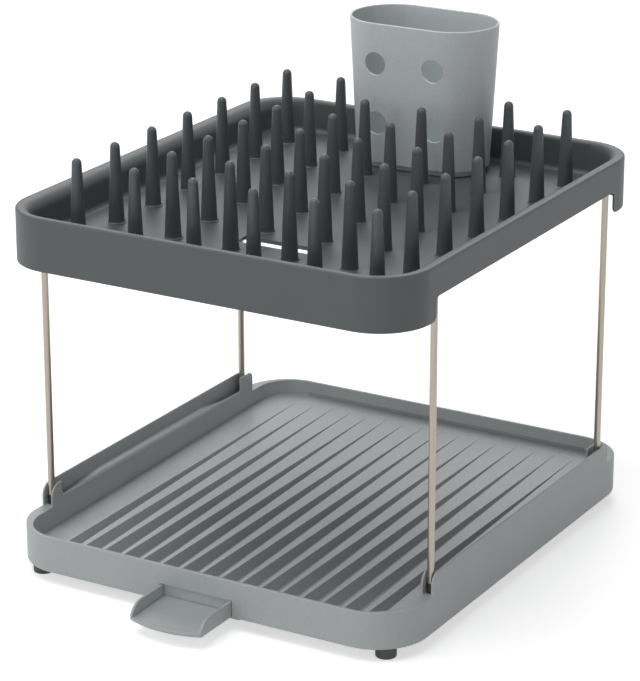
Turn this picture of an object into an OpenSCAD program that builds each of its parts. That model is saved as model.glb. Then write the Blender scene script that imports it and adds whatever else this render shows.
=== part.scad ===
// Two-tier dish rack: a ribbed drip tray with a drawer spout, a peg tray that
// stands on four folding wire legs, and a cutlery cup that lifts out.
// +Z is up, the front faces -Y, and the feet stand on z = 0.

/* [Footprint] */
// Width of both trays
rack_w = 315.4; // [290:0.2:360]
// Depth of both trays, front to back
rack_d = 361.4; // [340:0.2:420]
// Outer corner radius of both trays, seen from above
corner_r = 38; // [34:1:44]

/* [Heights] */
// Top of the upper tray's rim above the counter
rim_z = 267.5; // [220:0.5:320]
// Height of the rubber feet under the drip tray
foot_h = 9.2; // [8:0.1:12]
// Height of the drip tray's front and back walls
base_wall_h = 26.7; // [25:0.1:34]
// Rise of the drip tray's two side banks above those walls
bank_rise = 16; // [10:0.5:24]

/* [Drip tray] */
// Thickness of the drip tray's outer walls
base_wall_t = 2.5; // [2:0.1:3.5]
// Thickness of its corner ledges
ledge_t = 2; // [1.5:0.1:3]
// Thickness of its drained floor
drip_floor_t = 1.8; // [1.5:0.1:2.4]
// Corner radius of the bay
bay_r = 28; // [16:1:32]
// Height of the floor's ridges above the tray's bottom edge, at the back
ridge_back_h = 15.4; // [14:0.1:17]
// Height of the ridges above the bottom edge, at the front
ridge_front_h = 10.2; // [10:0.1:11.2]
// Distance from one drain groove to the next
groove_pitch = 16.1; // [15:0.1:17]
// Width of a groove at its front end
groove_w = 14.8; // [8:0.2:15]
// Depth of a groove at its front end
groove_depth = 5; // [2:0.1:5]
// Least bare floor between the grooves and the bay's sides
groove_side = 12; // [4:0.5:19]
// Width of the two outermost grooves, as a share of the others
edge_groove_share = 0.78; // [0.5:0.01:1]
// Drop from the grooves' ends to the gutter behind the front wall
gutter_drop = 0.4; // [0.3:0.1:0.5]
// Bare floor behind the grooves, measured from the tray's back face
groove_back = 17; // [12:0.1:60]
// Fillet at the foot of the back wall
cove_r = 3.5; // [2:0.5:6]
// Wall of the side banks
bank_t = 1.6; // [1.2:0.1:2]
// Drop from a side bank's outer edge to its low middle, between the sockets
bank_drop = 9.6; // [8:0.1:10.5]
// Length of a side bank in front of the front leg's centre line
bank_front_l = 5.7; // [4:0.1:9]
// Length of a side bank behind the rear leg's centre line
bank_rear_l = 9; // [4:0.1:12]
// Round at the front end of a side bank
bank_front_r = 9; // [3:0.5:12]
// Round at the rear end of a side bank
bank_back_r = 4.5; // [2:0.5:10]
// Length of the tall inner wall beside a front leg's socket
socket_front_l = 12; // [10:1:16]
// Length of the tall inner wall beside a rear leg's socket
socket_rear_l = 18; // [14:1:24]
// Round on the inner edge of a bank's low middle
bank_round_r = 3.5; // [1:0.5:4]
// Length of a leg slot's deep floor, measured from the leg
swing_flat = 20; // [16:1:22]
// Distance from the leg to the end of the ramp that its foot swings over
swing_run = 56; // [54:1:62]

/* [Feet] */
// Diameter of a rubber foot
foot_d = 14.5; // [10:0.5:17]
// Distance from a foot's centre to the tray's side face
foot_inset_x = 19.7; // [17:0.1:32]
// Distance from a foot's centre to the tray's front or back face
foot_inset_y = 17.7; // [17:0.1:30]
// Diameter of the plug that holds a foot in its boss
foot_plug_d = 6; // [4:0.5:8]
// Length of that plug
foot_plug_l = 6; // [4:0.5:8]
// Wall of a foot's boss
foot_boss_t = 2.4; // [1.6:0.1:4]

/* [Spout] */
// Width of the drawer spout
spout_w = 56.8; // [40:0.2:57.2]
// Reach of the spout in front of the drip tray
spout_reach = 43.3; // [30:0.1:55]
// Length of the spout that stays behind the front wall
spout_tail = 30; // [20:1:40]
// Travel of the spout when it is pushed home
spout_travel = 29; // [20:1:36]
// Height of the spout's cheeks
spout_h = 11.7; // [9:0.1:11.8]
// Wall of the spout's cheeks
spout_t = 2; // [1.5:0.1:3]
// Thickness of the spout's floor at its lip
spout_lip_t = 2.4; // [1.6:0.1:3.5]
// Fall of the spout's floor from its tail to its lip
spout_fall = 1.6; // [0:0.1:1.8]
// Round at the front of a cheek
cheek_r = 13.5; // [8:0.5:16]
// Distance from the lip's tip back to where the cheeks start to drop
cheek_back = 18; // [15:0.5:24]
// Bow of the lip, ends to middle
lip_bow = 6; // [2:0.5:8]
// Thickness of the plate that the spout slides on
runner_t = 1.9; // [1.4:0.1:1.9]
// Depth that the baffle between the cheeks is set back in the front wall
baffle_set = 1.2; // [0.8:0.1:1.4]
// Length of the cheeks behind the front wall's inner face
cheek_tail = 0.4; // [0.2:0.1:4]

/* [Peg tray] */
// Height of the peg tray's front and back walls
end_wall_h = 37.7; // [36:0.1:46]
// Height of its side walls
side_wall_h = 21.7; // [20.5:0.1:24]
// Distance that the end walls wrap round each corner
end_wrap = 46; // [42:0.5:60]
// Fillet at the top of the wrap's edge
wrap_fillet_r = 3.5; // [1:0.5:5]
// Round at the foot of the wrap's edge
wrap_round_r = 5; // [2:0.5:7]
// Thickness of the outer walls
skin_t = 1.5; // [1.2:0.1:1.6]
// Thickness of the rim and of the bowl's walls
bowl_t = 1.8; // [1.4:0.1:2]
// Thickness of the bowl's floor
floor_t = 2.8; // [2:0.1:3.4]
// Depth of the bowl's floor below the rim
bowl_depth = 24.5; // [23:0.5:26]
// Width of the rim's flat top
rim_flat_w = 3.6; // [3:0.1:4]
// Round from the rim down into the bowl, along the sides
side_bend_r = 8; // [6:0.5:8.5]
// Round from the rim down into the bowl, at the front and back
end_bend_r = 2.5; // [1.5:0.5:5]
// Inward lean of the bowl's side walls, side travel for each unit of depth
side_lean = 0.14; // [0:0.01:0.2]
// Inward lean of its front and back walls
end_lean = 0.06; // [0:0.01:0.1]
// Fillet where the walls meet the floor
bowl_foot_r = 4; // [2:0.5:5]
// Length of the drain slot
slot_l = 62; // [30:1:80]
// Width of the drain slot
slot_w = 11; // [6:0.5:16]
// Distance from the tray's front face to the middle of the drain slot
slot_from_front = 113.7; // [100:0.1:130]

/* [Drain hopper] */
// Flat floor beside the side slopes, from the tray's side face
hopper_side = 34.7; // [32:0.1:60]
// Fall of the side slopes at the slot
hopper_side_fall = 7.6; // [3:0.1:8]
// Bare flat floor behind the back slope, from the tray's back face
hopper_back = 86.7; // [70:0.1:120]
// Fall of the back slope at the slot
hopper_back_fall = 6; // [3:0.1:7]
// Fall of the front slope at the slot
hopper_front_fall = 7; // [3:0.1:7.5]
// Fall of the front slope at its front end
hopper_edge_fall = 2.8; // [1:0.1:4]
// Flat floor in front of the front slope, from the tray's front face
hopper_front = 16; // [14:0.5:30]

/* [Pegs] */
// Least distance from a peg to the tray's outer faces
peg_edge = 38; // [32:0.5:50]
// Distance between pegs, side to side
peg_pitch_x = 46.6; // [40:0.2:48]
// Distance between rows
peg_pitch_y = 46.5; // [40:0.2:48]
// Height of the peg tips above the rim
peg_rise = 32.3; // [10:0.1:45]
// Diameter of a peg at the floor
peg_base_d = 12; // [9:0.5:14]
// Diameter of a peg's round tip
peg_tip_d = 6.8; // [4:0.2:8]

/* [Legs] */
// Diameter of the leg wire
wire_d = 4.8; // [4:0.1:4.8]
// Distance from a leg's centre line to the tray's front or back face
leg_setback = 51.2; // [50:0.1:60]
// Hinge line of the front legs below the rim
front_hinge_drop = 9; // [8:0.5:9.5]
// Hinge line of the rear legs below the rim
rear_hinge_drop = 15; // [14.8:0.1:16]
// Bend radius at the top of a leg, on the wire's centre line
wire_bend_r = 2.7; // [2.6:0.1:3]
// Length of the pin that the wire's bent end makes
pin_l = 3.8; // [2:0.1:4]
// Diameter of the moulded boss round a hinge pin
hinge_boss_d = 9.6; // [8:0.2:11]
// Outer diameter of a leg's end cap
cap_d = 5.2; // [5:0.1:5.2]
// Height of a leg's end cap
cap_h = 7; // [4:0.5:12]
// Thickness of the cap's closed end
cap_end_t = 1.5; // [1:0.1:3]

/* [Cutlery cup] */
// Length of the cup's rim, side to side
cup_l = 114.8; // [90:0.2:116]
// Width of the cup's rim, front to back
cup_w = 67; // [50:0.5:67]
// Height of the cup's rim above the tray's rim
cup_rise = 85.7; // [50:0.1:120]
// Drop of the cup's bottom below the tray's rim
cup_drop = 20; // [18:0.1:21]
// Width lost from rim to bottom
cup_taper = 11; // [4:0.5:16]
// Wall of the cup
cup_t = 1.8; // [1.4:0.1:2.6]
// Distance that the cup's foot is set back from its side
cup_foot_set = 3; // [2:0.5:8]
// Diameter of the cup's drain holes
hole_d = 17; // [8:0.5:20]
// Distance between the two columns of holes
hole_span = 47; // [30:1:50]
// Height of the upper holes above the tray's rim
hole_upper_z = 55.3; // [35:0.1:60]
// Height of the lower holes above the tray's rim
hole_lower_z = 10.3; // [2:0.1:14]

/* [Clearances] */
// Running gap between moving pieces
run_gap = 0.4; // [0.3:0.05:0.5]
// Gap between a leg's cap and each wall of its socket
socket_gap = 0.45; // [0.35:0.05:0.6]
// Gap under a piece that stands on a seat
seat_gap = 0.3; // [0.2:0.05:0.4]
// Radial gap of a hinge pin in its bore
pin_gap = 0.05; // [0.02:0.01:0.1]

/* [Hidden] */
$fn = 64;
// Overrun of every cut past the face that it opens
over = 1;
// Facets of a quarter turn on the lofted bowl
corner_steps = 10;

slate = "#5a5f61";
cool_grey = "#a0a4a5";
steel = "#b5afa4";
black = "#242526";

left = -1;
right = 1;
front = -1;
rear = 1;

leg_y = rack_d / 2 - leg_setback;

// Heights of the drip tray
base_rim_z = foot_h + base_wall_h;
bank_top_z = base_rim_z + bank_rise;
socket_w = cap_d + 2 * socket_gap;
bank_w = 2 * bank_t + socket_w;
bay_w = rack_w - 2 * bank_w;
bay_d = rack_d - 2 * base_wall_t;
bay_front_y = -bay_d / 2;
groove_start_y = rack_d / 2 - groove_back;
ridge_back_z = foot_h + ridge_back_h;
ridge_front_z = foot_h + ridge_front_h;
ridge_slope = (ridge_back_z - ridge_front_z) / (groove_start_y - bay_front_y);
groove_run = groove_start_y - bay_front_y;
gutter_w = base_wall_t + groove_w / 3;
gutter_z = ridge_front_z - groove_depth - gutter_drop;
bay_rear_y = bay_d / 2;
bank_front_y = -leg_y - bank_front_l;
bank_rear_y = leg_y + bank_rear_l;
bank_in_x = bay_w / 2;
bank_low_z = bank_top_z - bank_drop;
groove_count = 2 * floor((bay_w / 2 - groove_side) / groove_pitch);
foot_x = rack_w / 2 - foot_inset_x;
foot_y = rack_d / 2 - foot_inset_y;

// Places of the legs
leg_x = rack_w / 2 - bank_w / 2;
wire_r = wire_d / 2;
cap_base_z = base_rim_z + seat_gap;
wire_end_z = cap_base_z + cap_end_t;
boss_face_x = leg_x - wire_bend_r - seat_gap;
socket_out_x = rack_w / 2 - bank_t;
socket_in_x = socket_out_x - socket_w;

// Places of the spout
spout_base_z = foot_h;
runner_z = spout_base_z - seat_gap;
spout_top_z = spout_base_z + spout_h;
lip_y = -rack_d / 2 - spout_reach;
tail_y = -rack_d / 2 + spout_tail;
window_w = spout_w + 2 * run_gap;
window_top_z = spout_top_z + run_gap;
baffle_w = spout_w - 2 * spout_t - 2 * run_gap;
baffle_z = spout_base_z + spout_lip_t + spout_fall;
ear_w = spout_t;
ear_l = 3 * spout_t;
ear_front_y = bay_front_y + seat_gap;
ear_h = spout_h / 4.5;
cheek_rear_y = bay_front_y + cheek_tail;
basin_rear_y = cheek_rear_y + spout_travel + run_gap;
runner_in_x = window_w / 2 + ear_w + run_gap;
runner_rear_y = tail_y + spout_travel + seat_gap;

// Places in the peg tray
bowl_floor_z = rim_z - bowl_depth;
hopper_w = rack_w - 2 * hopper_side;
peg_columns = 1 + floor((rack_w - 2 * peg_edge) / peg_pitch_x);
peg_rows = 1 + floor((rack_d - 2 * peg_edge) / peg_pitch_y);
slot_y = slot_from_front - rack_d / 2;
cup_y = (peg_rows - 1) / 2 * peg_pitch_y;
cup_base_z = rim_z - cup_drop;
cup_top_z = rim_z + cup_rise;
cup_end_x = (cup_l - cup_w) / 2;

// The ridges fall evenly towards the front
function ridge_z(y) = ridge_front_z + ridge_slope * (y - bay_front_y);

// Inward step of a round edge at a depth below its flat
function edge_in(r, depth) = depth >= r ? r : sqrt(r * r - (r - depth) * (r - depth));

// Inward step of a fillet at a height above the floor
function fillet_in(r, h) = h >= r ? 0 : r - sqrt(r * r - (r - h) * (r - h));

function side_in(depth) = rim_flat_w + edge_in(side_bend_r, depth) + side_lean * depth
    + fillet_in(bowl_foot_r, bowl_depth - depth);

function end_in(depth) = rim_flat_w + edge_in(end_bend_r, depth) + end_lean * depth
    + fillet_in(bowl_foot_r, bowl_depth - depth);

// One ring of the bowl, grown outwards for the back of its wall
function bowl_ring(depth, grow, z) = let (sx = side_in(depth), sy = end_in(depth))
    round_ring(rack_w / 2 - sx + grow, rack_d / 2 - sy + grow, corner_r - (sx + sy) / 2 + grow, z);

function round_ring(hx, hy, r, z) = [
    for (q = [0:3], k = [0:corner_steps])
        let (a = 90 * (q + k / corner_steps),
            cx = (q == 0 || q == 3) ? hx - r : r - hx,
            cy = q < 2 ? hy - r : r - hy)
        [cx + r * cos(a), cy + r * sin(a), z]
];

// Depths of the bowl's rings, from the floor up, close together where it curves
bowl_depths = concat(
    [for (a = [90:-22.5:0]) bowl_depth - bowl_foot_r * (1 - sin(a))],
    [for (a = [90:-15:0]) side_bend_r * (1 - cos(a))]
);

// The whole rack sits with the middle of its box on the origin, spout drawn out
module in_frame() {
    translate([0, spout_reach / 2, 0]) children();
}

// A closed skin through rings that run anticlockwise, lowest first
module loft(rings) {
    n = len(rings[0]);
    m = len(rings);
    polyhedron(
        points = [for (ring = rings, p = ring) p],
        faces = concat(
            [[for (i = [0:n - 1]) i]],
            [[for (i = [n - 1:-1:0]) (m - 1) * n + i]],
            [for (j = [0:m - 2], i = [0:n - 1]) [j * n + i, (j + 1) * n + i, (j + 1) * n + (i + 1) % n]],
            [for (j = [0:m - 2], i = [0:n - 1]) [j * n + i, (j + 1) * n + (i + 1) % n, j * n + (i + 1) % n]]
        )
    );
}

module round_rect(w, d, r) {
    square([w - 2 * r, d], center = true);
    square([w, d - 2 * r], center = true);
    for (sx = [-1, 1], sy = [-1, 1])
        translate([sx * (w / 2 - r), sy * (d / 2 - r)]) circle(r = r);
}

module slab(w, d, r, z0, z1) {
    translate([0, 0, z0]) linear_extrude(z1 - z0) round_rect(w, d, r);
}

// A box given by its lowest and highest corners
module span(low, high) {
    translate(low) cube(high - low);
}

// A profile drawn as front-to-back by height, run along X
module along_x(x0, x1) {
    translate([x0, 0, 0]) rotate([90, 0, 90]) linear_extrude(x1 - x0) children();
}

module both_sides() {
    children();
    mirror([1, 0, 0]) children();
}

// A square corner piece with a round bite, to fillet an inside corner
module fillet_bit(r) {
    difference() {
        square(r);
        translate([r, r]) circle(r = r);
    }
}

module bank_profile() {
    h = bank_top_z - base_rim_z + ledge_t;
    translate([bank_front_y, base_rim_z - ledge_t]) difference() {
        square([bank_rear_y - bank_front_y, h]);
        translate([0, h]) mirror([0, 1]) fillet_bit(bank_front_r);
        translate([bank_rear_y - bank_front_y, h]) mirror([1, 0]) mirror([0, 1]) fillet_bit(bank_back_r);
    }
}

// Seen from the side: the slot that a leg's foot stands in and swings out of
module swing_profile() {
    polygon([
        [bank_front_y - over, base_rim_z], [swing_flat - leg_y, base_rim_z],
        [swing_run - leg_y, bank_low_z], [leg_y - swing_run, bank_low_z],
        [leg_y - swing_flat, base_rim_z], [bank_rear_y + over, base_rim_z],
        [bank_rear_y + over, bank_top_z + over], [bank_front_y - over, bank_top_z + over]
    ]);
}

// A side bank: a tall outer skin, and an inner one that is tall only beside the
// two leg sockets. The slot between them is open to the tray's ends.
module side_bank() {
    difference() {
        along_x(bank_in_x, rack_w / 2) bank_profile();
        span([bank_in_x - over, bank_front_y + socket_front_l, bank_low_z],
            [socket_out_x, bank_rear_y - socket_rear_l, bank_top_z + over]);
        translate([bank_in_x, bank_rear_y - socket_rear_l, bank_low_z]) rotate([90, 0, 0])
            linear_extrude(bank_rear_y - socket_rear_l - bank_front_y - socket_front_l)
                mirror([0, 1]) fillet_bit(bank_round_r);
        along_x(socket_in_x, socket_out_x) swing_profile();
    }
}

// V cuts whose bottoms fall faster than the ridges, so each groove widens
module grooves(drop) {
    steep = groove_depth + ridge_slope * groove_run;
    run = norm([groove_run, steep]) - gutter_w / 2;
    tall = groove_depth + drip_floor_t + over;
    half = tall * groove_w / (2 * groove_depth);
    function share(k) = abs(k) == edge ? edge_groove_share : 1;
    edge = (groove_count - 1) / 2;
    for (k = [-edge:edge])
        translate([k * groove_pitch, groove_start_y, ridge_z(groove_start_y) - drop])
            rotate([90 + atan2(steep, groove_run), 0, 0])
                linear_extrude(run) polygon([[0, 0], [share(k) * half, tall], [-share(k) * half, tall]]);
}

// Everything under the plane of the ridges
module under_ridges(z0) {
    along_x(-rack_w / 2, rack_w / 2) polygon([
        [-rack_d / 2, z0], [rack_d / 2, z0],
        [rack_d / 2, ridge_z(rack_d / 2)], [-rack_d / 2, ridge_z(-rack_d / 2)]
    ]);
}

module drip_floor() {
    intersection() {
        slab(bay_w + bank_t, bay_d + base_wall_t, bay_r + bank_t / 2, foot_h, base_rim_z);
        under_ridges(foot_h);
        union() {
            difference() {
                under_ridges(foot_h);
                translate([0, 0, -drip_floor_t]) under_ridges(0);
            }
            grooves(drip_floor_t);
            span([-rack_w / 2, -rack_d / 2, gutter_z - drip_floor_t],
                [rack_w / 2, bay_front_y + gutter_w + drip_floor_t, ridge_back_z]);
        }
    }
}

module back_cove() {
    along_x(-bay_w / 2 + bay_r, bay_w / 2 - bay_r)
        translate([bay_rear_y, ridge_z(bay_rear_y - cove_r)]) mirror([1, 0]) fillet_bit(cove_r);
}

// The box under the floor that the spout's tail slides in
module spout_bay() {
    out_x = runner_in_x + spout_t;
    both_sides() span([runner_in_x, bay_front_y, runner_z - runner_t], [out_x, runner_rear_y + spout_t, ridge_front_z]);
    span([-out_x, bay_front_y, runner_z - runner_t], [out_x, runner_rear_y + spout_t, runner_z]);
    span([-out_x, runner_rear_y, runner_z - runner_t], [out_x, runner_rear_y + spout_t, ridge_front_z]);
}

module foot_boss(x, y) {
    translate([x, y, foot_h])
        cylinder(h = ridge_z(y) - foot_h - drip_floor_t / 2, d = foot_plug_d + 2 * foot_boss_t + 2 * pin_gap);
}

module base_tray() {
    in_frame() color(cool_grey) difference() {
        union() {
            difference() {
                slab(rack_w, rack_d, corner_r, foot_h, base_rim_z);
                slab(rack_w - 2 * base_wall_t, bay_d, corner_r - base_wall_t, foot_h - over, base_rim_z - ledge_t);
                slab(bay_w, bay_d, bay_r, foot_h, base_rim_z + over);
            }
            difference() {
                slab(bay_w + 2 * bank_t, bay_d + base_wall_t, bay_r + bank_t, ridge_front_z - groove_depth, base_rim_z);
                slab(bay_w, bay_d, bay_r, foot_h, base_rim_z + over);
            }
            drip_floor();
            back_cove();
            both_sides() side_bank();
            spout_bay();
            for (sx = [left, right], sy = [front, rear])
                foot_boss(sx * foot_x, sy * foot_y);
        }
        grooves(0);
        span([-bay_w / 2 + bay_r, bay_front_y, gutter_z], [bay_w / 2 - bay_r, bay_front_y + gutter_w, base_rim_z]);
        difference() {
            span([-window_w / 2, -rack_d / 2 - over, foot_h - over], [window_w / 2, bay_front_y, window_top_z]);
            span([-baffle_w / 2, baffle_set - rack_d / 2, baffle_z], [baffle_w / 2, bay_front_y, window_top_z]);
        }
        span([-window_w / 2, bay_front_y, runner_z], [window_w / 2, basin_rear_y, base_rim_z]);
        both_sides() span([socket_in_x, swing_run - leg_y + bank_t, foot_h],
            [rack_w / 2 - base_wall_t, leg_y - swing_run - bank_t, bank_low_z - bank_t]);
        for (sx = [left, right], sy = [front, rear])
            translate([sx * foot_x, sy * foot_y, foot_h - over])
                cylinder(h = foot_plug_l + seat_gap + over, d = foot_plug_d + 2 * pin_gap);
    }
}

module foot(sx, sy) {
    in_frame() color(black) translate([sx * foot_x, sy * foot_y, 0]) {
        cylinder(h = foot_h, d = foot_d);
        cylinder(h = foot_h + foot_plug_l, d = foot_plug_d);
    }
}

// The spout seen from above: straight sides and a bowed lip
module spout_plan(w) {
    bow_r = (spout_w * spout_w / 4 + lip_bow * lip_bow) / (2 * lip_bow);
    intersection() {
        translate([-w / 2, lip_y]) square([w, tail_y - lip_y]);
        union() {
            translate([0, lip_y + bow_r]) circle(r = bow_r);
            translate([-w / 2, lip_y + 2 * lip_bow]) square([w, tail_y - lip_y]);
        }
    }
}

module cheek_profile() {
    cheek_y = lip_y + cheek_back;
    translate([cheek_y, spout_base_z]) square([cheek_rear_y - cheek_y, spout_h]);
    translate([cheek_y, spout_base_z]) square([tail_y - cheek_y, spout_lip_t + spout_fall]);
    intersection() {
        translate([cheek_y, spout_top_z - cheek_r]) circle(r = cheek_r);
        translate([lip_y, spout_base_z]) square([cheek_back, spout_h]);
    }
}

module spout() {
    in_frame() color(cool_grey) {
        difference() {
            intersection() {
                translate([0, 0, spout_base_z]) linear_extrude(spout_h) spout_plan(spout_w);
                along_x(-spout_w / 2, spout_w / 2) union() {
                    cheek_profile();
                    translate([lip_y, spout_base_z]) square([cheek_back, spout_lip_t]);
                }
            }
            along_x(-spout_w / 2 + spout_t, spout_w / 2 - spout_t) polygon([
                [lip_y - over, spout_base_z + spout_lip_t],
                [tail_y + over, spout_base_z + spout_lip_t + spout_fall],
                [tail_y + over, spout_top_z + over],
                [lip_y - over, spout_top_z + over]
            ]);
        }
        both_sides() span([spout_w / 2 - spout_t, ear_front_y, spout_base_z],
            [window_w / 2 + ear_w, ear_front_y + ear_l, spout_base_z + ear_h]);
    }
}

// The bowl's inside
module bowl() {
    rings = [for (depth = bowl_depths) bowl_ring(depth, 0, rim_z - depth)];
    loft(concat(rings, [bowl_ring(0, 0, rim_z + over)]));
}

// The bowl's back, one wall further out and one floor further down
module bowl_back() {
    loft([for (depth = bowl_depths) bowl_ring(depth, bowl_t, rim_z - depth - floor_t * depth / bowl_depth)]);
}

// A shallow funnel in the floor, deepest at the drain slot.
// Lowered by the floor's thickness, and as much longer in front, it is the funnel's underside.
module hopper(drop) {
    top = bowl_floor_z + over;
    back_y = rack_d / 2 - hopper_back;
    front_y = hopper_front - rack_d / 2 - drop;
    translate([0, 0, -drop]) intersection() {
        rotate([90, 0, 0]) linear_extrude(rack_d, center = true) polygon([
            [-hopper_w / 2, top], [-hopper_w / 2, bowl_floor_z],
            [-slot_l / 2, bowl_floor_z - hopper_side_fall], [slot_l / 2, bowl_floor_z - hopper_side_fall],
            [hopper_w / 2, bowl_floor_z], [hopper_w / 2, top]
        ]);
        along_x(-rack_w / 2, rack_w / 2) polygon([
            [front_y, top], [front_y, bowl_floor_z - hopper_edge_fall],
            [slot_y - slot_w / 2, bowl_floor_z - hopper_front_fall],
            [slot_y + slot_w / 2, bowl_floor_z - hopper_back_fall],
            [back_y, bowl_floor_z], [back_y, top]
        ]);
    }
}

// The window under a side wall: round inside its top, flared at its foot
module wrap_cut() {
    half = rack_d / 2 - end_wrap;
    top = rim_z - side_wall_h;
    foot = rim_z - end_wall_h;
    difference() {
        translate([-half, foot - over]) square([2 * half, top - foot + over]);
        for (m = [0, 1]) mirror([m, 0]) translate([half, top]) mirror([1, 0]) mirror([0, 1])
            fillet_bit(wrap_fillet_r);
    }
    for (m = [0, 1]) mirror([m, 0]) translate([half, foot]) fillet_bit(wrap_round_r);
}

function hinge_drop(sy) = sy == front ? front_hinge_drop : rear_hinge_drop;

module upper_tray() {
    in_frame() color(slate) difference() {
        union() {
            difference() {
                slab(rack_w, rack_d, corner_r, rim_z - end_wall_h, rim_z);
                slab(rack_w - 2 * skin_t, rack_d - 2 * skin_t, corner_r - skin_t,
                    rim_z - end_wall_h - over, rim_z - bowl_t);
                along_x(-rack_w / 2 - over, rack_w / 2 + over) wrap_cut();
            }
            bowl_back();
            hopper(floor_t);
            for (sy = [front, rear]) both_sides()
                translate([rack_w / 2 - side_in(side_bend_r), sy * leg_y, rim_z - hinge_drop(sy)])
                    rotate([0, 90, 0]) cylinder(h = boss_face_x - rack_w / 2 + side_in(side_bend_r), d = hinge_boss_d);
        }
        bowl();
        hopper(0);
        translate([-slot_l / 2, slot_y - slot_w / 2, rim_z - end_wall_h]) cube([slot_l, slot_w, end_wall_h]);
        for (sy = [front, rear]) both_sides()
            translate([boss_face_x - pin_l, sy * leg_y, rim_z - hinge_drop(sy)])
                rotate([0, 90, 0]) cylinder(h = pin_l + over, r = wire_r + pin_gap);
    }
}

module peg(x, y) {
    tip_r = peg_tip_d / 2;
    tip_z = rim_z + peg_rise - tip_r;
    foot_z = bowl_floor_z - hopper_side_fall;
    translate([x, y, foot_z]) cylinder(h = tip_z - foot_z, d1 = peg_base_d, r2 = tip_r);
    translate([x, y, tip_z]) sphere(r = tip_r);
}

// The two middle pegs of the last row are left out for the cup
module pegs() {
    in_frame() color(slate) difference() {
        for (i = [0:peg_columns - 1], j = [0:peg_rows - 1])
            if (j < peg_rows - 1 || abs(i - (peg_columns - 1) / 2) > 1)
                peg((i - (peg_columns - 1) / 2) * peg_pitch_x, (j - (peg_rows - 1) / 2) * peg_pitch_y);
        difference() {
            span([-rack_w / 2, -rack_d / 2, rim_z - end_wall_h], [rack_w / 2, rack_d / 2, bowl_floor_z]);
            hopper(0);
        }
    }
}

// A stadium that narrows downwards: two cones and a wedge between them
module cup_form(grow, z0, z1) {
    slope = cup_taper / 2 / (cup_top_z - cup_base_z);
    r0 = cup_w / 2 - cup_taper / 2 + grow + slope * (z0 - cup_base_z);
    r1 = cup_w / 2 - cup_taper / 2 + grow + slope * (z1 - cup_base_z);
    for (sx = [left, right]) translate([sx * cup_end_x, 0, z0]) cylinder(h = z1 - z0, r1 = r0, r2 = r1);
    along_x(-cup_end_x, cup_end_x) polygon([[-r0, z0], [r0, z0], [r1, z1], [-r1, z1]]);
}

module cutlery_cup() {
    in_frame() color(cool_grey) translate([0, cup_y, 0]) difference() {
        union() {
            cup_form(0, cup_base_z, cup_top_z);
            translate([0, 0, bowl_floor_z + seat_gap]) linear_extrude(cup_base_z - bowl_floor_z)
                round_rect(cup_l - cup_taper - 2 * cup_foot_set, cup_w - cup_taper - 2 * cup_foot_set,
                    (cup_w - cup_taper - 2 * cup_foot_set) / 2 - seat_gap);
        }
        cup_form(-cup_t, cup_base_z + cup_t, cup_top_z + over);
        for (sx = [left, right], hz = [hole_lower_z, hole_upper_z])
            translate([sx * hole_span / 2, 0, rim_z + hz]) rotate([90, 0, 0]) cylinder(h = cup_w, d = hole_d);
    }
}

// A leg stands at the right side and is mirrored to the left one
module leg(sx, sy) {
    hinge_z = rim_z - hinge_drop(sy);
    in_frame() color(steel) mirror([sx == left ? 1 : 0, 0, 0]) translate([leg_x, sy * leg_y, 0]) {
        translate([0, 0, wire_end_z]) cylinder(h = hinge_z - wire_bend_r - wire_end_z, r = wire_r);
        translate([-wire_bend_r, 0, hinge_z - wire_bend_r]) rotate([90, 0, 0])
            rotate_extrude(angle = 90) translate([wire_bend_r, 0]) circle(r = wire_r);
        translate([-wire_bend_r - pin_l, 0, hinge_z]) rotate([0, 90, 0]) cylinder(h = pin_l, r = wire_r);
    }
}

module cap(sx, sy) {
    in_frame() color(black) translate([sx * leg_x, sy * leg_y, cap_base_z]) difference() {
        cylinder(h = cap_h, d = cap_d);
        translate([0, 0, cap_end_t]) cylinder(h = cap_h, r = wire_r + pin_gap);
    }
}

base_tray();
foot(left, front);  // foot_front_left
foot(right, front);  // foot_front_right
foot(left, rear);  // foot_rear_left
foot(right, rear);  // foot_rear_right
spout();
upper_tray();
pegs();
cutlery_cup();
leg(left, front);  // leg_front_left
leg(right, front);  // leg_front_right
leg(left, rear);  // leg_rear_left
leg(right, rear);  // leg_rear_right
cap(left, front);  // cap_front_left
cap(right, front);  // cap_front_right
cap(left, rear);  // cap_rear_left
cap(right, rear);  // cap_rear_right
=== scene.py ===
"""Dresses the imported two-tier dish rack: rounded mouldings, pegs, wires, rubber and a plain studio."""
import math

import bmesh
import bpy
from mathutils import Matrix, Vector


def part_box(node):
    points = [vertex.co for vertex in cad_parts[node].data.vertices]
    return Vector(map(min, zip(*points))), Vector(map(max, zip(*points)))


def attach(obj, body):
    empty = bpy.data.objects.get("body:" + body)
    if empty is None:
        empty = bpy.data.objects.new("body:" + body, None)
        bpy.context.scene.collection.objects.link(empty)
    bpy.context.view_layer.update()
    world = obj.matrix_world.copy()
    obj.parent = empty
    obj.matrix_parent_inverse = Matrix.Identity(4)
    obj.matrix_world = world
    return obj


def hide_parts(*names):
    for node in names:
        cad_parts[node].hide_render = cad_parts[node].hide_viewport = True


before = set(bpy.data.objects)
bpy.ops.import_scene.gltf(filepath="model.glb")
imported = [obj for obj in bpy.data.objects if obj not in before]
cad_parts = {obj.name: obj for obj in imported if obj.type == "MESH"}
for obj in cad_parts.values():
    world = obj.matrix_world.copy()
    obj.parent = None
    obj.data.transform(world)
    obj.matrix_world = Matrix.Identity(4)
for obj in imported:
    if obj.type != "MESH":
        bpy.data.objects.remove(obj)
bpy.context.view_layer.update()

bl_info = {
    "name": "Two-tier dish rack",
    "version": (1, 0, 0),
    "blender": (4, 5, 0),
    "location": "3D View > Sidebar > Dish Rack",
    "description": "Dresses the packed dish rack with its mouldings, pegs, wires and rubber",
    "category": "Object",
}

MM = 0.001
CORNERS = ("front_left", "front_right", "rear_left", "rear_right")

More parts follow.
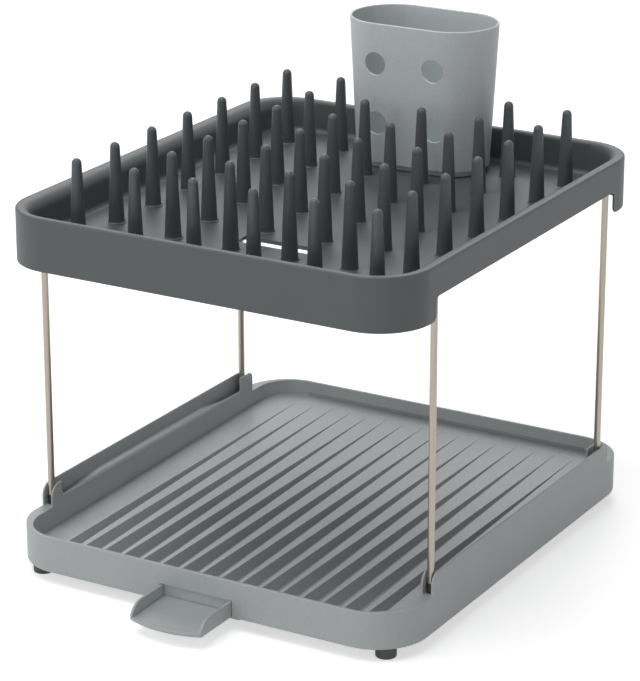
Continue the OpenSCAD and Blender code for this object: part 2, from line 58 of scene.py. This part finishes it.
# Places on the rack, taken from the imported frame
RIM_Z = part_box("upper_tray")[1].z
PEGS_LOW, PEGS_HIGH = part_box("pegs")
DECK_LOW, DECK_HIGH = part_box("base_tray")
CUP_TOP_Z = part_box("cutlery_cup")[1].z

# Rise and width of the drip tray's side banks
BANK_RISE = 16 * MM
SIDE_BANK = 9.3 * MM

# Where the drip tray's drained floor lies: under the walls' tops and over the tray's lower edge
FLOOR_DROP = 3 * MM
FLOOR_RISE = 4 * MM
# A floor face looks up by this much of a unit normal, and a ridge top by this much
UPWARD = 0.3
LEVEL = 0.97

# Bands that tell a rim's own edges from those lower down
RIM_BAND = 0.2 * MM
UNDER_RIM = 4 * MM
CUP_RIM_BAND = 0.5 * MM
UNDER_CUP_RIM = 3 * MM
PEG_FOOT_BAND = 3 * MM

# Vertices this close are one, and faces that turn by less than this many degrees are one
MERGE = 0.005 * MM
FLAT_TURN = 0.6
# An edge that turns by more degrees than this is rounded
SHARP_TURN = 50
# Faces that turn by less than these degrees are shaded as one, on mouldings, ribs and round pieces
SMOOTH_TURN = 35
RIB_SMOOTH_TURN = 30
ROUND_SMOOTH_TURN = 50
PEG_SIDES = 28
FOOT_SIDES = 48

# Inputs and output of a Mix node that carry colour
MIX_A, MIX_B, MIX_RESULT = 6, 7, 2

# The photo's camera in metres, and its lens and sensor in millimetres
EYE = (0.997, -1.71035, 0.858)
TARGET = (0.0139, -0.01445, 0.1604)
LENS = 157.3
SENSOR = 36
SEEN_TO = 50

# The paper's width and whiteness, and the height that the lamps aim at
PAPER_W = 12
PAPER_WHITE = 0.86
AIM_Z = 0.15


def linear(text):
    """Turns an sRGB hex colour into linear red, green and blue."""
    parts = [int(text[i:i + 2], 16) / 255 for i in (1, 3, 5)]
    return [p / 12.92 if p <= 0.04045 else ((p + 0.055) / 1.055) ** 2.4 for p in parts]


def colour_property(name, description, text):
    return bpy.props.FloatVectorProperty(
        name=name, description=description, subtype="COLOR", size=3, min=0, max=1, default=linear(text))


def length_property(name, description, value_mm, high_mm):
    return bpy.props.FloatProperty(
        name=name, description=description, subtype="DISTANCE", unit="LENGTH",
        default=value_mm * MM, min=0, max=high_mm * MM, precision=4)


def power_property(name, description, watts):
    return bpy.props.FloatProperty(
        name=name, description=description, subtype="POWER", unit="POWER", default=watts, min=0, max=200)


class DishRackColours(bpy.types.PropertyGroup):
    """Colours of the rack's plastics, steel and rubber, with painted highlight and painted shade for the drip
    tray's ridge tops and grooves.
    """
    peg_tray: colour_property("Peg tray", "Slate grey of the upper tray and its pegs", "#54595b")
    drip_tray: colour_property("Drip tray", "Cool light grey of the lower tray and its spout", "#b3b8b9")
    # The ridge-top and groove colours are painted highlight and painted shade on the one grey drip tray
    # moulding
    ridge_painted_highlight: colour_property("Ridge tops", "Paler than the tray: painted highlight", "#c1c6c7")
    hollow_painted_shade: colour_property("Groove hollows", "Darker than the tray: painted shade", "#9a9ea0")
    cup: colour_property("Cutlery cup", "Cool light grey of the cup", "#d0d6d7")
    wire: colour_property("Leg wire", "Warm grey of the drawn stainless wire", "#a8a195")
    feet: colour_property("Feet", "Dark grey of the rubber feet", "#4b4c4d")
    tips: colour_property("Leg tips", "Black of the caps on the wires", "#1d1d1e")


class DishRackSizes(bpy.types.PropertyGroup):
    """Small sizes that only the dressed rack has."""
    edge_round: length_property("Moulded edge", "Round on a moulding's sharp edges", 0.4, 0.6)
    wall_top_round: length_property("Wall top", "Round on the top edges of the drip tray's walls", 0.7, 1)
    wall_top_band: length_property("Wall top band", "Depth below a wall's top that this round takes", 1, 3)
    rim_round: length_property("Rim edge", "Round on the outer edge of the peg tray's rim", 1.6, 2.5)
    peg_fillet: length_property("Peg fillet", "Fillet where a peg meets the floor", 1.1, 2)
    peg_base_d: length_property("Peg base", "Diameter of a peg at the floor", 12, 14)
    peg_tip_d: length_property("Peg tip", "Diameter of a peg's round tip", 6.8, 8)
    cheek_round: length_property("Spout edge", "Round on the edges of the spout and its cheeks", 0.6, 0.9)
    foot_round: length_property("Foot edge", "Round on a rubber foot's lower edge", 0.9, 1.5)
    foot_plug_d: length_property("Foot plug", "Diameter of the plug on a foot, inside the tray's boss", 6, 8)
    foot_plug_l: length_property("Foot plug length", "Length of the plug on a foot", 6, 7)
    foot_top_round: length_property("Foot top", "Round on a foot's upper edge", 0.5, 0.9)
    foot_plug_chamfer: length_property("Plug chamfer", "Chamfer on the end of a foot's plug", 0.6, 1)
    cup_rim_round: length_property("Cup rim", "Round on the cup's rim", 0.8, 1)
    tip_round: length_property("Cap edge", "Round on the edges of a cap on a wire", 0.15, 0.3)


class DishRackStage(bpy.types.PropertyGroup):
    """Levels of the plain studio, where 1 is white."""
    room: bpy.props.FloatProperty(
        name="Room light", description="Light from all round on the rack", default=0.2, min=0, max=1)
    paper_glow: bpy.props.FloatProperty(
        name="Paper glow", description="How much the white paper is lifted where the camera sees it",
        default=0.58, min=0, max=1)
    overhead: power_property("Overhead softbox", "Power of the softbox above", 27)
    front: power_property("Front softbox", "Power of the softbox in front", 9)
    right_fill: power_property("Right fill", "Power of the fill on the right", 4)
    left_fill: power_property("Left fill", "Power of the fill in front, to the left", 8)
    back_left: power_property("Back softbox", "Power of the softbox behind, to the left", 22)


class DishRackSettings(bpy.types.PropertyGroup):
    """All that can be changed on the dressed rack."""
    stage: bpy.props.PointerProperty(type=DishRackStage)
    colours: bpy.props.PointerProperty(type=DishRackColours)
    sizes: bpy.props.PointerProperty(type=DishRackSizes)


# Meshes

def clear_selection():
    if bpy.context.mode != "OBJECT":
        bpy.ops.object.mode_set(mode="OBJECT")
    bpy.ops.object.select_all(action="DESELECT")


def make_active(piece):
    clear_selection()
    piece.select_set(True)
    bpy.context.view_layer.objects.active = piece


def merged_copy(node, name):
    """Copies a CAD node's mesh into a new piece and joins its loose triangles."""
    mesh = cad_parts[node].data.copy()
    mesh.name = name
    mesh.materials.clear()
    piece = bpy.data.objects.new(name, mesh)
    bpy.context.scene.collection.objects.link(piece)
    make_active(piece)
    bpy.ops.mesh.customdata_custom_splitnormals_clear()
    bpy.ops.object.mode_set(mode="EDIT")
    bpy.ops.mesh.select_all(action="SELECT")
    bpy.ops.mesh.remove_doubles(threshold=MERGE)
    bpy.ops.mesh.dissolve_limited(angle_limit=math.radians(FLAT_TURN))
    bpy.ops.mesh.select_all(action="DESELECT")
    bpy.ops.object.mode_set(mode="OBJECT")
    return piece


def round_edges(piece, width, segments, test):
    """Bevels the sharp edges whose middle passes a test."""
    make_active(piece)
    bpy.ops.object.mode_set(mode="EDIT")
    bpy.ops.mesh.select_mode(type="EDGE")
    work = bmesh.from_edit_mesh(piece.data)
    limit = math.radians(SHARP_TURN)
    found = False
    for edge in work.edges:
        turn = edge.calc_face_angle(0)
        picked = turn > limit and test((edge.verts[0].co + edge.verts[1].co) / 2, edge)
        edge.select_set(picked)
        found = found or picked
    bmesh.update_edit_mesh(piece.data)
    if found:
        bpy.ops.mesh.bevel(offset=width, segments=segments, affect="EDGES", clamp_overlap=False)
    bpy.ops.mesh.select_all(action="DESELECT")
    bpy.ops.object.mode_set(mode="OBJECT")


def shade(piece, angle=SMOOTH_TURN):
    """Smooths the shading and keeps large flat faces flat beside their rounded edges."""
    make_active(piece)
    bpy.ops.object.shade_smooth_by_angle(angle=math.radians(angle))
    weights = piece.modifiers.new("Flat faces stay flat", "WEIGHTED_NORMAL")
    weights.mode = "FACE_AREA"
    weights.weight = 100
    weights.keep_sharp = True
    bpy.ops.object.modifier_apply(modifier=weights.name)


def turned(name, rings, sides):
    """A round piece raised from a disc: each ring is extruded up and scaled to its radius."""
    clear_selection()
    radius, height = rings[0]
    bpy.ops.mesh.primitive_circle_add(
        vertices=sides, radius=radius, fill_type="NGON", location=(0, 0, height))
    piece = bpy.context.object
    piece.name = name
    bpy.ops.object.transform_apply(location=True)
    bpy.ops.object.mode_set(mode="EDIT")
    for next_radius, next_height in rings[1:]:
        bpy.ops.mesh.extrude_region_move(
            TRANSFORM_OT_translate={"value": (0, 0, next_height - height)})
        share = next_radius / radius
        bpy.ops.transform.resize(value=(share, share, 1))
        radius, height = next_radius, next_height
    bpy.ops.mesh.select_all(action="SELECT")
    bpy.ops.mesh.normals_make_consistent(inside=False)
    bpy.ops.mesh.select_all(action="DESELECT")
    bpy.ops.object.mode_set(mode="OBJECT")
    return piece


def arc(centre_r, centre_z, radius, degrees):
    """Rings along an arc of a turned piece's outline."""
    turns = [math.radians(d) for d in degrees]
    return [(centre_r + radius * math.cos(t), centre_z + radius * math.sin(t)) for t in turns]


def own_copy(piece, name, place):
    """Copies a piece with its own mesh and moves the copy's mesh to its place."""
    copy = piece.copy()
    copy.data = piece.data.copy()
    copy.name = copy.data.name = name
    copy.data.transform(Matrix.Translation(place))
    bpy.context.scene.collection.objects.link(copy)
    return copy


def finish_piece(piece, material, body, slot, *nodes):
    """Gives a piece its first material and its body, and hides the CAD nodes that it stands for. The slot is
    not used.
    """
    piece.data.materials.clear()
    piece.data.materials.append(material)
    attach(piece, body)
    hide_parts(*nodes)


def peg_stands():
    """Where each CAD peg stands and the height of the floor under its middle."""
    work = bmesh.new()
    work.from_mesh(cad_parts["pegs"].data)
    bmesh.ops.remove_doubles(work, verts=work.verts, dist=MERGE)
    loose, stands = set(work.verts), []
    while loose:
        front = [loose.pop()]
        group = []
        while front:
            vert = front.pop()
            group.append(vert.co.copy())
            for edge in vert.link_edges:
                other = edge.other_vert(vert)
                if other in loose:
                    loose.remove(other)
                    front.append(other)
        low = Vector([min(c[i] for c in group) for i in range(3)])
        high = Vector([max(c[i] for c in group) for i in range(3)])
        ring = [c.z for c in group if c.z < low.z + PEG_FOOT_BAND]
        middle = Vector(((low.x + high.x) / 2, (low.y + high.y) / 2, 0))
        stands.append((middle, (min(ring) + max(ring)) / 2))
    work.free()
    return sorted(stands, key=lambda stand: (round(stand[0].y, 4), round(stand[0].x, 4)))


# Materials

def add_node(tree, kind, settings=None, links=None):
    """Adds one shader node, sets its options or sockets by name or number, and links its inputs."""
    made = tree.nodes.new(kind)
    for key, value in (settings or {}).items():
        if isinstance(key, str) and hasattr(made, key):
            setattr(made, key, value)
        else:
            made.inputs[key].default_value = value
    for key, output in (links or {}).items():
        tree.links.new(output, made.inputs[key])
    return made


def new_material(name):
    material = bpy.data.materials.new(name)
    material.use_nodes = True
    tree = material.node_tree
    tree.nodes.clear()
    return material, tree


def close_material(tree, surface):
    add_node(tree, "ShaderNodeOutputMaterial", {}, {"Surface": surface.outputs[0]})


def per_metre(size_mm):
    """Noise scale that makes features of about this size on Object coordinates."""
    return 1 / (size_mm * MM)


def share_of(colour, share):
    """A darker or paler share of a colour, no brighter than white, with its alpha."""
    return [min(1, c * share) for c in colour] + [1]


def moulded_polypropylene(name, colour, roughness, grain_mm=0.9, grain_depth_mm=0.035, speckle=0.05):
    """Injection-moulded polypropylene from a spark-eroded mould.

    The eroded steel leaves a fine even grain: a soft broken sheen with no clear reflection.
    The grain is taken as about 0.3 mm, too fine to show, so it is drawn three times as coarse or more.
    Cloudy changes about 70 mm wide keep a large wall from looking perfectly even.
    """
    material, tree = new_material(name)
    place = add_node(tree, "ShaderNodeTexCoord").outputs["Object"]
    grain = add_node(tree, "ShaderNodeTexNoise",
                     {"Scale": per_metre(grain_mm), "Detail": 2.0, "Roughness": 0.6}, {"Vector": place})
    cloud = add_node(tree, "ShaderNodeTexNoise",
                     {"Scale": per_metre(70), "Detail": 1.0, "Roughness": 0.4}, {"Vector": place})
    spread = add_node(tree, "ShaderNodeMapRange", {"From Min": 0.35, "From Max": 0.65},
                      {"Value": grain.outputs["Fac"]})
    dark, pale = share_of(colour, 1 - speckle), share_of(colour, 1 + speckle)
    fine = add_node(tree, "ShaderNodeMix", {"data_type": "RGBA", MIX_A: dark, MIX_B: pale},
                    {"Factor": spread.outputs[0]})
    slow = add_node(tree, "ShaderNodeMapRange",
                    {"From Min": 0.3, "From Max": 0.7, "To Min": 0.98, "To Max": 1.02},
                    {"Value": cloud.outputs["Fac"]})
    tint = add_node(tree, "ShaderNodeVectorMath", {"operation": "SCALE"},
                    {"Vector": fine.outputs[MIX_RESULT], "Scale": slow.outputs[0]})
    rough = add_node(
        tree, "ShaderNodeMapRange",
        {"From Min": 0.3, "From Max": 0.7, "To Min": roughness - 0.05, "To Max": roughness + 0.05},
        {"Value": grain.outputs["Fac"]})
    bump = add_node(tree, "ShaderNodeBump", {"Strength": 0.6, "Distance": grain_depth_mm * MM},
                    {"Height": grain.outputs["Fac"]})
    surface = add_node(
        tree, "ShaderNodeBsdfPrincipled", {"IOR": 1.49},
        {"Base Color": tint.outputs[0], "Roughness": rough.outputs[0], "Normal": bump.outputs[0]})
    close_material(tree, surface)
    return material


def drawn_stainless_wire(name, colour):
    """Stainless wire drawn through a die: fine lines along its length and a satin shine.

    Real die lines are too fine to show, so they are drawn 0.5 mm apart.
    They are stretched fifty times along the wire, which gives the long thin glints of a drawn wire.
    """
    material, tree = new_material(name)
    place = add_node(tree, "ShaderNodeTexCoord").outputs["Object"]
    along = add_node(tree, "ShaderNodeMapping", {"Scale": (1, 1, 0.02)}, {"Vector": place})
    lines = add_node(tree, "ShaderNodeTexNoise",
                     {"Scale": per_metre(0.5), "Detail": 3.0, "Roughness": 0.6}, {"Vector": along.outputs[0]})
    dark, pale = share_of(colour, 0.9), share_of(colour, 1.08)
    tint = add_node(tree, "ShaderNodeMix", {"data_type": "RGBA", MIX_A: dark, MIX_B: pale},
                    {"Factor": lines.outputs["Fac"]})
    rough = add_node(tree, "ShaderNodeMapRange", {"To Min": 0.24, "To Max": 0.4},
                     {"Value": lines.outputs["Fac"]})
    bump = add_node(tree, "ShaderNodeBump", {"Strength": 0.3, "Distance": 0.01 * MM},
                    {"Height": lines.outputs["Fac"]})
    surface = add_node(
        tree, "ShaderNodeBsdfPrincipled", {"Metallic": 1.0},
        {"Base Color": tint.outputs[MIX_RESULT], "Roughness": rough.outputs[0], "Normal": bump.outputs[0]})
    close_material(tree, surface)
    return material


def moulded_rubber(name, colour, roughness):
    """Moulded rubber: dull and dark, with a faint bloom that breaks up what little it reflects."""
    material, tree = new_material(name)
    place = add_node(tree, "ShaderNodeTexCoord").outputs["Object"]
    bloom = add_node(tree, "ShaderNodeTexNoise",
                     {"Scale": per_metre(1.5), "Detail": 3.0, "Roughness": 0.6}, {"Vector": place})
    dark, pale = share_of(colour, 0.85), share_of(colour, 1.2)
    tint = add_node(tree, "ShaderNodeMix", {"data_type": "RGBA", MIX_A: dark, MIX_B: pale},
                    {"Factor": bloom.outputs["Fac"]})
    rough = add_node(tree, "ShaderNodeMapRange",
                     {"To Min": roughness - 0.08, "To Max": roughness + 0.08},
                     {"Value": bloom.outputs["Fac"]})
    bump = add_node(tree, "ShaderNodeBump", {"Strength": 0.4, "Distance": 0.03 * MM},
                    {"Height": bloom.outputs["Fac"]})
    surface = add_node(
        tree, "ShaderNodeBsdfPrincipled", {"IOR": 1.52},
        {"Base Color": tint.outputs[MIX_RESULT], "Roughness": rough.outputs[0], "Normal": bump.outputs[0]})
    close_material(tree, surface)
    return material


def not_a_bounce(tree):
    """One for rays from the camera, a gloss or a clear piece, nought for the rest."""
    rays = add_node(tree, "ShaderNodeLightPath")
    seen = add_node(tree, "ShaderNodeMath", {"operation": "MAXIMUM"},
                    {0: rays.outputs["Is Camera Ray"], 1: rays.outputs["Is Glossy Ray"]})
    both = add_node(tree, "ShaderNodeMath", {"operation": "MAXIMUM"},
                    {0: seen.outputs[0], 1: rays.outputs["Is Transmission Ray"]})
    return both.outputs[0]


def looking(spot, target):
    """The turn of a lamp or camera that looks from one spot to another."""
    return (Vector(target) - Vector(spot)).to_track_quat("-Z", "Y").to_euler()


# Operators

class DISHRACK_OT_drip_tray(bpy.types.Operator):
    """Model the drip tray's rounded moulding"""
    bl_idname = "dish_rack.drip_tray"
    bl_label = "Drip Tray"

    def execute(self, context):
        finish, sizes = context.scene.dish_rack.colours, context.scene.dish_rack.sizes
        piece = merged_copy("base_tray", "drip_tray")
        wall_z = DECK_HIGH.z - BANK_RISE
        band_z = wall_z - sizes.wall_top_band
        round_edges(piece, sizes.wall_top_round, segments=3, test=lambda mid, edge: mid.z > band_z)
        round_edges(piece, sizes.edge_round, segments=2,
                    test=lambda mid, edge: mid.z < band_z and edge.is_convex)
        shade(piece, RIB_SMOOTH_TURN)
        walls = moulded_polypropylene(
            "Moulded polypropylene, satin light grey", finish.drip_tray, roughness=0.48)
        finish_piece(piece, walls, "base", "drip_tray_plastic", "base_tray")
        # One moulding. Its level ridge tops are smoother and carry a painted highlight, paler than the tray;
        # its groove faces are rougher and carry painted shade, darker than the tray.
        # The floor's speckle is about 1.1 mm wide in the photo, so it is drawn at that size.
        piece.data.materials.append(moulded_polypropylene(
            "Moulded polypropylene, ridge tops, painted highlight", finish.ridge_painted_highlight, roughness=0.36,
            grain_mm=1.1, grain_depth_mm=0.1, speckle=0.08))
        piece.data.materials.append(moulded_polypropylene(
            "Moulded polypropylene, groove faces, painted shade", finish.hollow_painted_shade, roughness=0.72,
            grain_mm=1.1, grain_depth_mm=0.14, speckle=0.1))
        # Level floor faces take the painted highlight, and sloping groove faces take the painted shade
        for face in piece.data.polygons:
            spot = face.center
            inside = spot.z < wall_z - FLOOR_DROP and abs(spot.x) < DECK_HIGH.x - SIDE_BANK
            if inside and face.normal.z > UPWARD and spot.z > DECK_LOW.z + FLOOR_RISE:
                face.material_index = 1 if face.normal.z > LEVEL else 2
        return {"FINISHED"}


class DISHRACK_OT_spout(bpy.types.Operator):
    """Model the drawer spout's rounded moulding"""
    bl_idname = "dish_rack.spout"
    bl_label = "Drawer Spout"

    def execute(self, context):
        finish, sizes = context.scene.dish_rack.colours, context.scene.dish_rack.sizes
        piece = merged_copy("spout", "drawer_spout")
        round_edges(piece, sizes.cheek_round, segments=3, test=lambda mid, edge: edge.is_convex)
        shade(piece)
        plastic = moulded_polypropylene("Moulded polypropylene, spout grey", finish.drip_tray, roughness=0.45)
        finish_piece(piece, plastic, "spout", "drip_tray_plastic", "spout")
        return {"FINISHED"}


class DISHRACK_OT_peg_tray(bpy.types.Operator):
    """Model the peg tray's rounded moulding"""
    bl_idname = "dish_rack.peg_tray"
    bl_label = "Peg Tray"

    def execute(self, context):
        finish, sizes = context.scene.dish_rack.colours, context.scene.dish_rack.sizes
        piece = merged_copy("upper_tray", "peg_tray")
        round_edges(piece, sizes.rim_round, segments=4,
                    test=lambda mid, edge: mid.z > RIM_Z - RIM_BAND)
        round_edges(piece, sizes.edge_round, segments=2,
                    test=lambda mid, edge: mid.z < RIM_Z - UNDER_RIM)
        shade(piece)
        plastic = moulded_polypropylene("Moulded polypropylene, slate grey", finish.peg_tray, roughness=0.48)
        finish_piece(piece, plastic, "upper_tier", "peg_tray_plastic", "upper_tray")
        return {"FINISHED"}


class DISHRACK_OT_pegs(bpy.types.Operator):
    """Model the pegs, each with a filleted base and a round tip"""
    bl_idname = "dish_rack.pegs"
    bl_label = "Pegs"

    def execute(self, context):
        finish, sizes = context.scene.dish_rack.colours, context.scene.dish_rack.sizes
        base_r, tip_r, fillet = sizes.peg_base_d / 2, sizes.peg_tip_d / 2, sizes.peg_fillet
        tip_z = PEGS_HIGH.z - tip_r
        foot_z = PEGS_LOW.z
        draft = (base_r - tip_r) / (tip_z - foot_z)
        shoulder = foot_z + 2 * fillet
        rings = [(base_r + fillet, foot_z - fillet), (base_r + fillet, foot_z)]
        rings += arc(base_r + fillet, foot_z + fillet, fillet, (245, 220, 195))
        rings.append((base_r - draft * 2 * fillet, shoulder))
        rings += arc(0, tip_z, tip_r, (0, 18, 36, 54, 72, 84))
        master = turned("peg", rings, PEG_SIDES)
        pegs = []
        for index, (place, floor_z) in enumerate(peg_stands()):
            peg = own_copy(master, "peg_%02d" % index, place)
            rise = floor_z - foot_z
            # The foot moves up or down to the sloping floor, and in or out with the peg's draft
            for vert in peg.data.vertices:
                if vert.co.z < shoulder + fillet:
                    across = Vector((vert.co.x - place.x, vert.co.y - place.y, 0))
                    vert.co += Vector((0, 0, rise)) - across.normalized() * draft * rise
            pegs.append(peg)
        bpy.data.objects.remove(master)
        make_active(pegs[0])
        for peg in pegs[1:]:
            peg.select_set(True)
        bpy.ops.object.join()
        field = bpy.context.object
        field.name = "peg_field"
        shade(field, ROUND_SMOOTH_TURN)
        plastic = moulded_polypropylene("Moulded polypropylene, peg slate", finish.peg_tray, roughness=0.42)
        finish_piece(field, plastic, "upper_tier", "peg_tray_plastic", "pegs")
        return {"FINISHED"}


class DISHRACK_OT_cutlery_cup(bpy.types.Operator):
    """Model the cutlery cup with its rolled rim and drain holes"""
    bl_idname = "dish_rack.cutlery_cup"
    bl_label = "Cutlery Cup"

    def execute(self, context):
        finish, sizes = context.scene.dish_rack.colours, context.scene.dish_rack.sizes
        piece = merged_copy("cutlery_cup", "cutlery_cup_moulding")
        round_edges(piece, sizes.cup_rim_round, segments=4,
                    test=lambda mid, edge: mid.z > CUP_TOP_Z - CUP_RIM_BAND)
        round_edges(piece, sizes.edge_round, segments=2,
                    test=lambda mid, edge: mid.z < CUP_TOP_Z - UNDER_CUP_RIM)
        shade(piece)
        plastic = moulded_polypropylene("Moulded polypropylene, cup grey", finish.cup, roughness=0.45)
        finish_piece(piece, plastic, "cup", "cup_plastic", "cutlery_cup")
        return {"FINISHED"}


class DISHRACK_OT_legs(bpy.types.Operator):
    """Model the four wire legs and their caps"""
    bl_idname = "dish_rack.legs"
    bl_label = "Legs"

    def execute(self, context):
        finish, sizes = context.scene.dish_rack.colours, context.scene.dish_rack.sizes
        steel = drawn_stainless_wire("Drawn stainless wire", finish.wire)
        rubber = moulded_rubber("Moulded black rubber", finish.tips, roughness=0.6)
        for corner in CORNERS:
            wire = merged_copy("leg_" + corner, "wire_leg_" + corner)
            shade(wire, ROUND_SMOOTH_TURN)
            finish_piece(wire, steel, "leg_" + corner, "leg_wire", "leg_" + corner)
            tip = merged_copy("cap_" + corner, "leg_tip_" + corner)
            round_edges(tip, sizes.tip_round, segments=2, test=lambda mid, edge: True)
            shade(tip)
            finish_piece(tip, rubber, "leg_" + corner, "cap_rubber", "cap_" + corner)
        return {"FINISHED"}


class DISHRACK_OT_feet(bpy.types.Operator):
    """Model the four rubber feet"""
    bl_idname = "dish_rack.feet"
    bl_label = "Feet"

    def execute(self, context):
        finish, sizes = context.scene.dish_rack.colours, context.scene.dish_rack.sizes
        rubber = moulded_rubber("Moulded dark grey rubber", finish.feet, roughness=0.65)
        for corner in CORNERS:
            low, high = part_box("foot_" + corner)
            radius = (high.x - low.x) / 2
            plug_r, foot_z = sizes.foot_plug_d / 2, high.z - sizes.foot_plug_l
            edge, top, bevel = sizes.foot_round, sizes.foot_top_round, sizes.foot_plug_chamfer
            # The middle of a quarter round lies 0.3 of its radius inside the corner
            soft = top * 0.3
            rings = arc(radius - edge, edge, edge, (-90, -67.5, -45, -22.5, 0))
            rings += [(radius, foot_z - top), (radius - soft, foot_z - soft), (radius - top, foot_z),
                      (plug_r, foot_z), (plug_r, high.z - bevel), (plug_r - bevel, high.z)]
            pad = turned("foot_pad_" + corner, rings, FOOT_SIDES)
            pad.data.transform(Matrix.Translation(((low.x + high.x) / 2, (low.y + high.y) / 2, 0)))
            shade(pad)
            finish_piece(pad, rubber, "base", "foot_rubber", "foot_" + corner)
        return {"FINISHED"}


class DISHRACK_OT_studio(bpy.types.Operator):
    """Set up the pale floor, the soft lights and the camera"""
    bl_idname = "dish_rack.studio"
    bl_label = "Studio"

    def execute(self, context):
        scene = context.scene
        levels = scene.dish_rack.stage
        clear_selection()
        bpy.ops.mesh.primitive_plane_add(size=PAPER_W, location=(0, 0, 0))
        floor = context.object
        floor.name = "studio_floor"
        paper, tree = new_material("Matt white paper")
        matt = add_node(tree, "ShaderNodeBsdfDiffuse", {"Color": (PAPER_WHITE, PAPER_WHITE, PAPER_WHITE, 1)})
        lift = add_node(tree, "ShaderNodeMath", {"operation": "MULTIPLY", 1: levels.paper_glow},
                        {0: not_a_bounce(tree)})
        glow = add_node(tree, "ShaderNodeEmission", {"Color": (1, 1, 1, 1)}, {"Strength": lift.outputs[0]})
        both = add_node(tree, "ShaderNodeAddShader", {}, {0: matt.outputs[0], 1: glow.outputs[0]})
        close_material(tree, both)
        floor.data.materials.append(paper)

        world = bpy.data.worlds.new("Studio")
        scene.world = world
        world.use_nodes = True
        sky = world.node_tree
        sky.nodes.clear()
        level = add_node(sky, "ShaderNodeMapRange", {"To Min": levels.room, "To Max": 1.0},
                         {"Value": not_a_bounce(sky)})
        backdrop = add_node(sky, "ShaderNodeBackground", {"Color": (1, 1, 1, 1)},
                            {"Strength": level.outputs[0]})
        add_node(sky, "ShaderNodeOutputWorld", {}, {"Surface": backdrop.outputs[0]})

        # Name, place, width, height and power. The low ones reach the walls and leave the covered floor dim
        softboxes = (("overhead_softbox", (-0.35, -0.7, 2.5), 1.6, 1.6, levels.overhead),
                     ("front_softbox", (0.1, -2.8, 0.4), 2.4, 0.6, levels.front),
                     ("right_fill", (2.5, -0.9, 0.5), 2.4, 0.8, levels.right_fill),
                     ("left_fill", (-1.9, -1.7, 1.1), 1.2, 1.2, levels.left_fill),
                     ("back_left_softbox", (-0.95, 1.75, 2.1), 1.6, 1.6, levels.back_left))
        for name, spot, width, height, watts in softboxes:
            lamp = bpy.data.lights.new(name, "AREA")
            lamp.shape = "RECTANGLE"
            lamp.size, lamp.size_y = width, height
            lamp.energy = watts
            holder = bpy.data.objects.new(name, lamp)
            holder.location = spot
            holder.rotation_euler = looking(spot, (0, 0, AIM_Z))
            scene.collection.objects.link(holder)

        lens = bpy.data.cameras.new("photo_view")
        lens.sensor_fit = "VERTICAL"
        lens.sensor_height = SENSOR
        lens.lens = LENS
        lens.clip_end = SEEN_TO
        eye = bpy.data.objects.new("photo_view", lens)
        eye.location = EYE
        eye.rotation_euler = looking(EYE, TARGET)
        scene.collection.objects.link(eye)
        scene.camera = eye
        scene.view_settings.view_transform = "Standard"
        return {"FINISHED"}


class DISHRACK_PT_panel(bpy.types.Panel):
    """Sizes, colours and steps of the dressed rack"""
    bl_idname = "DISHRACK_PT_panel"
    bl_label = "Two-tier Dish Rack"
    bl_space_type = "VIEW_3D"
    bl_region_type = "UI"
    bl_category = "Dish Rack"

    def draw(self, context):
        settings = context.scene.dish_rack
        groups = (("Colours", settings.colours), ("Sizes", settings.sizes), ("Stage", settings.stage))
        for title, group in groups:
            column = self.layout.column(align=True)
            column.label(text=title)
            for name in group.__annotations__:
                column.prop(group, name)
        column = self.layout.column(align=True)
        for step in STEPS:
            column.operator(step.bl_idname)


# Steps in the order that main runs them
STEPS = (DISHRACK_OT_drip_tray, DISHRACK_OT_spout, DISHRACK_OT_peg_tray, DISHRACK_OT_pegs,
         DISHRACK_OT_cutlery_cup, DISHRACK_OT_legs, DISHRACK_OT_feet, DISHRACK_OT_studio)
CLASSES = (DishRackColours, DishRackSizes, DishRackStage, DishRackSettings) + STEPS + (DISHRACK_PT_panel,)


def register():
    for kind in CLASSES:
        bpy.utils.register_class(kind)
    bpy.types.Scene.dish_rack = bpy.props.PointerProperty(type=DishRackSettings)


def unregister():
    del bpy.types.Scene.dish_rack
    for kind in reversed(CLASSES):
        bpy.utils.unregister_class(kind)


def main():
    register()
    for step in STEPS:
        getattr(bpy.ops.dish_rack, step.bl_idname.split(".")[1])()


if __name__ == "__main__":
    main()
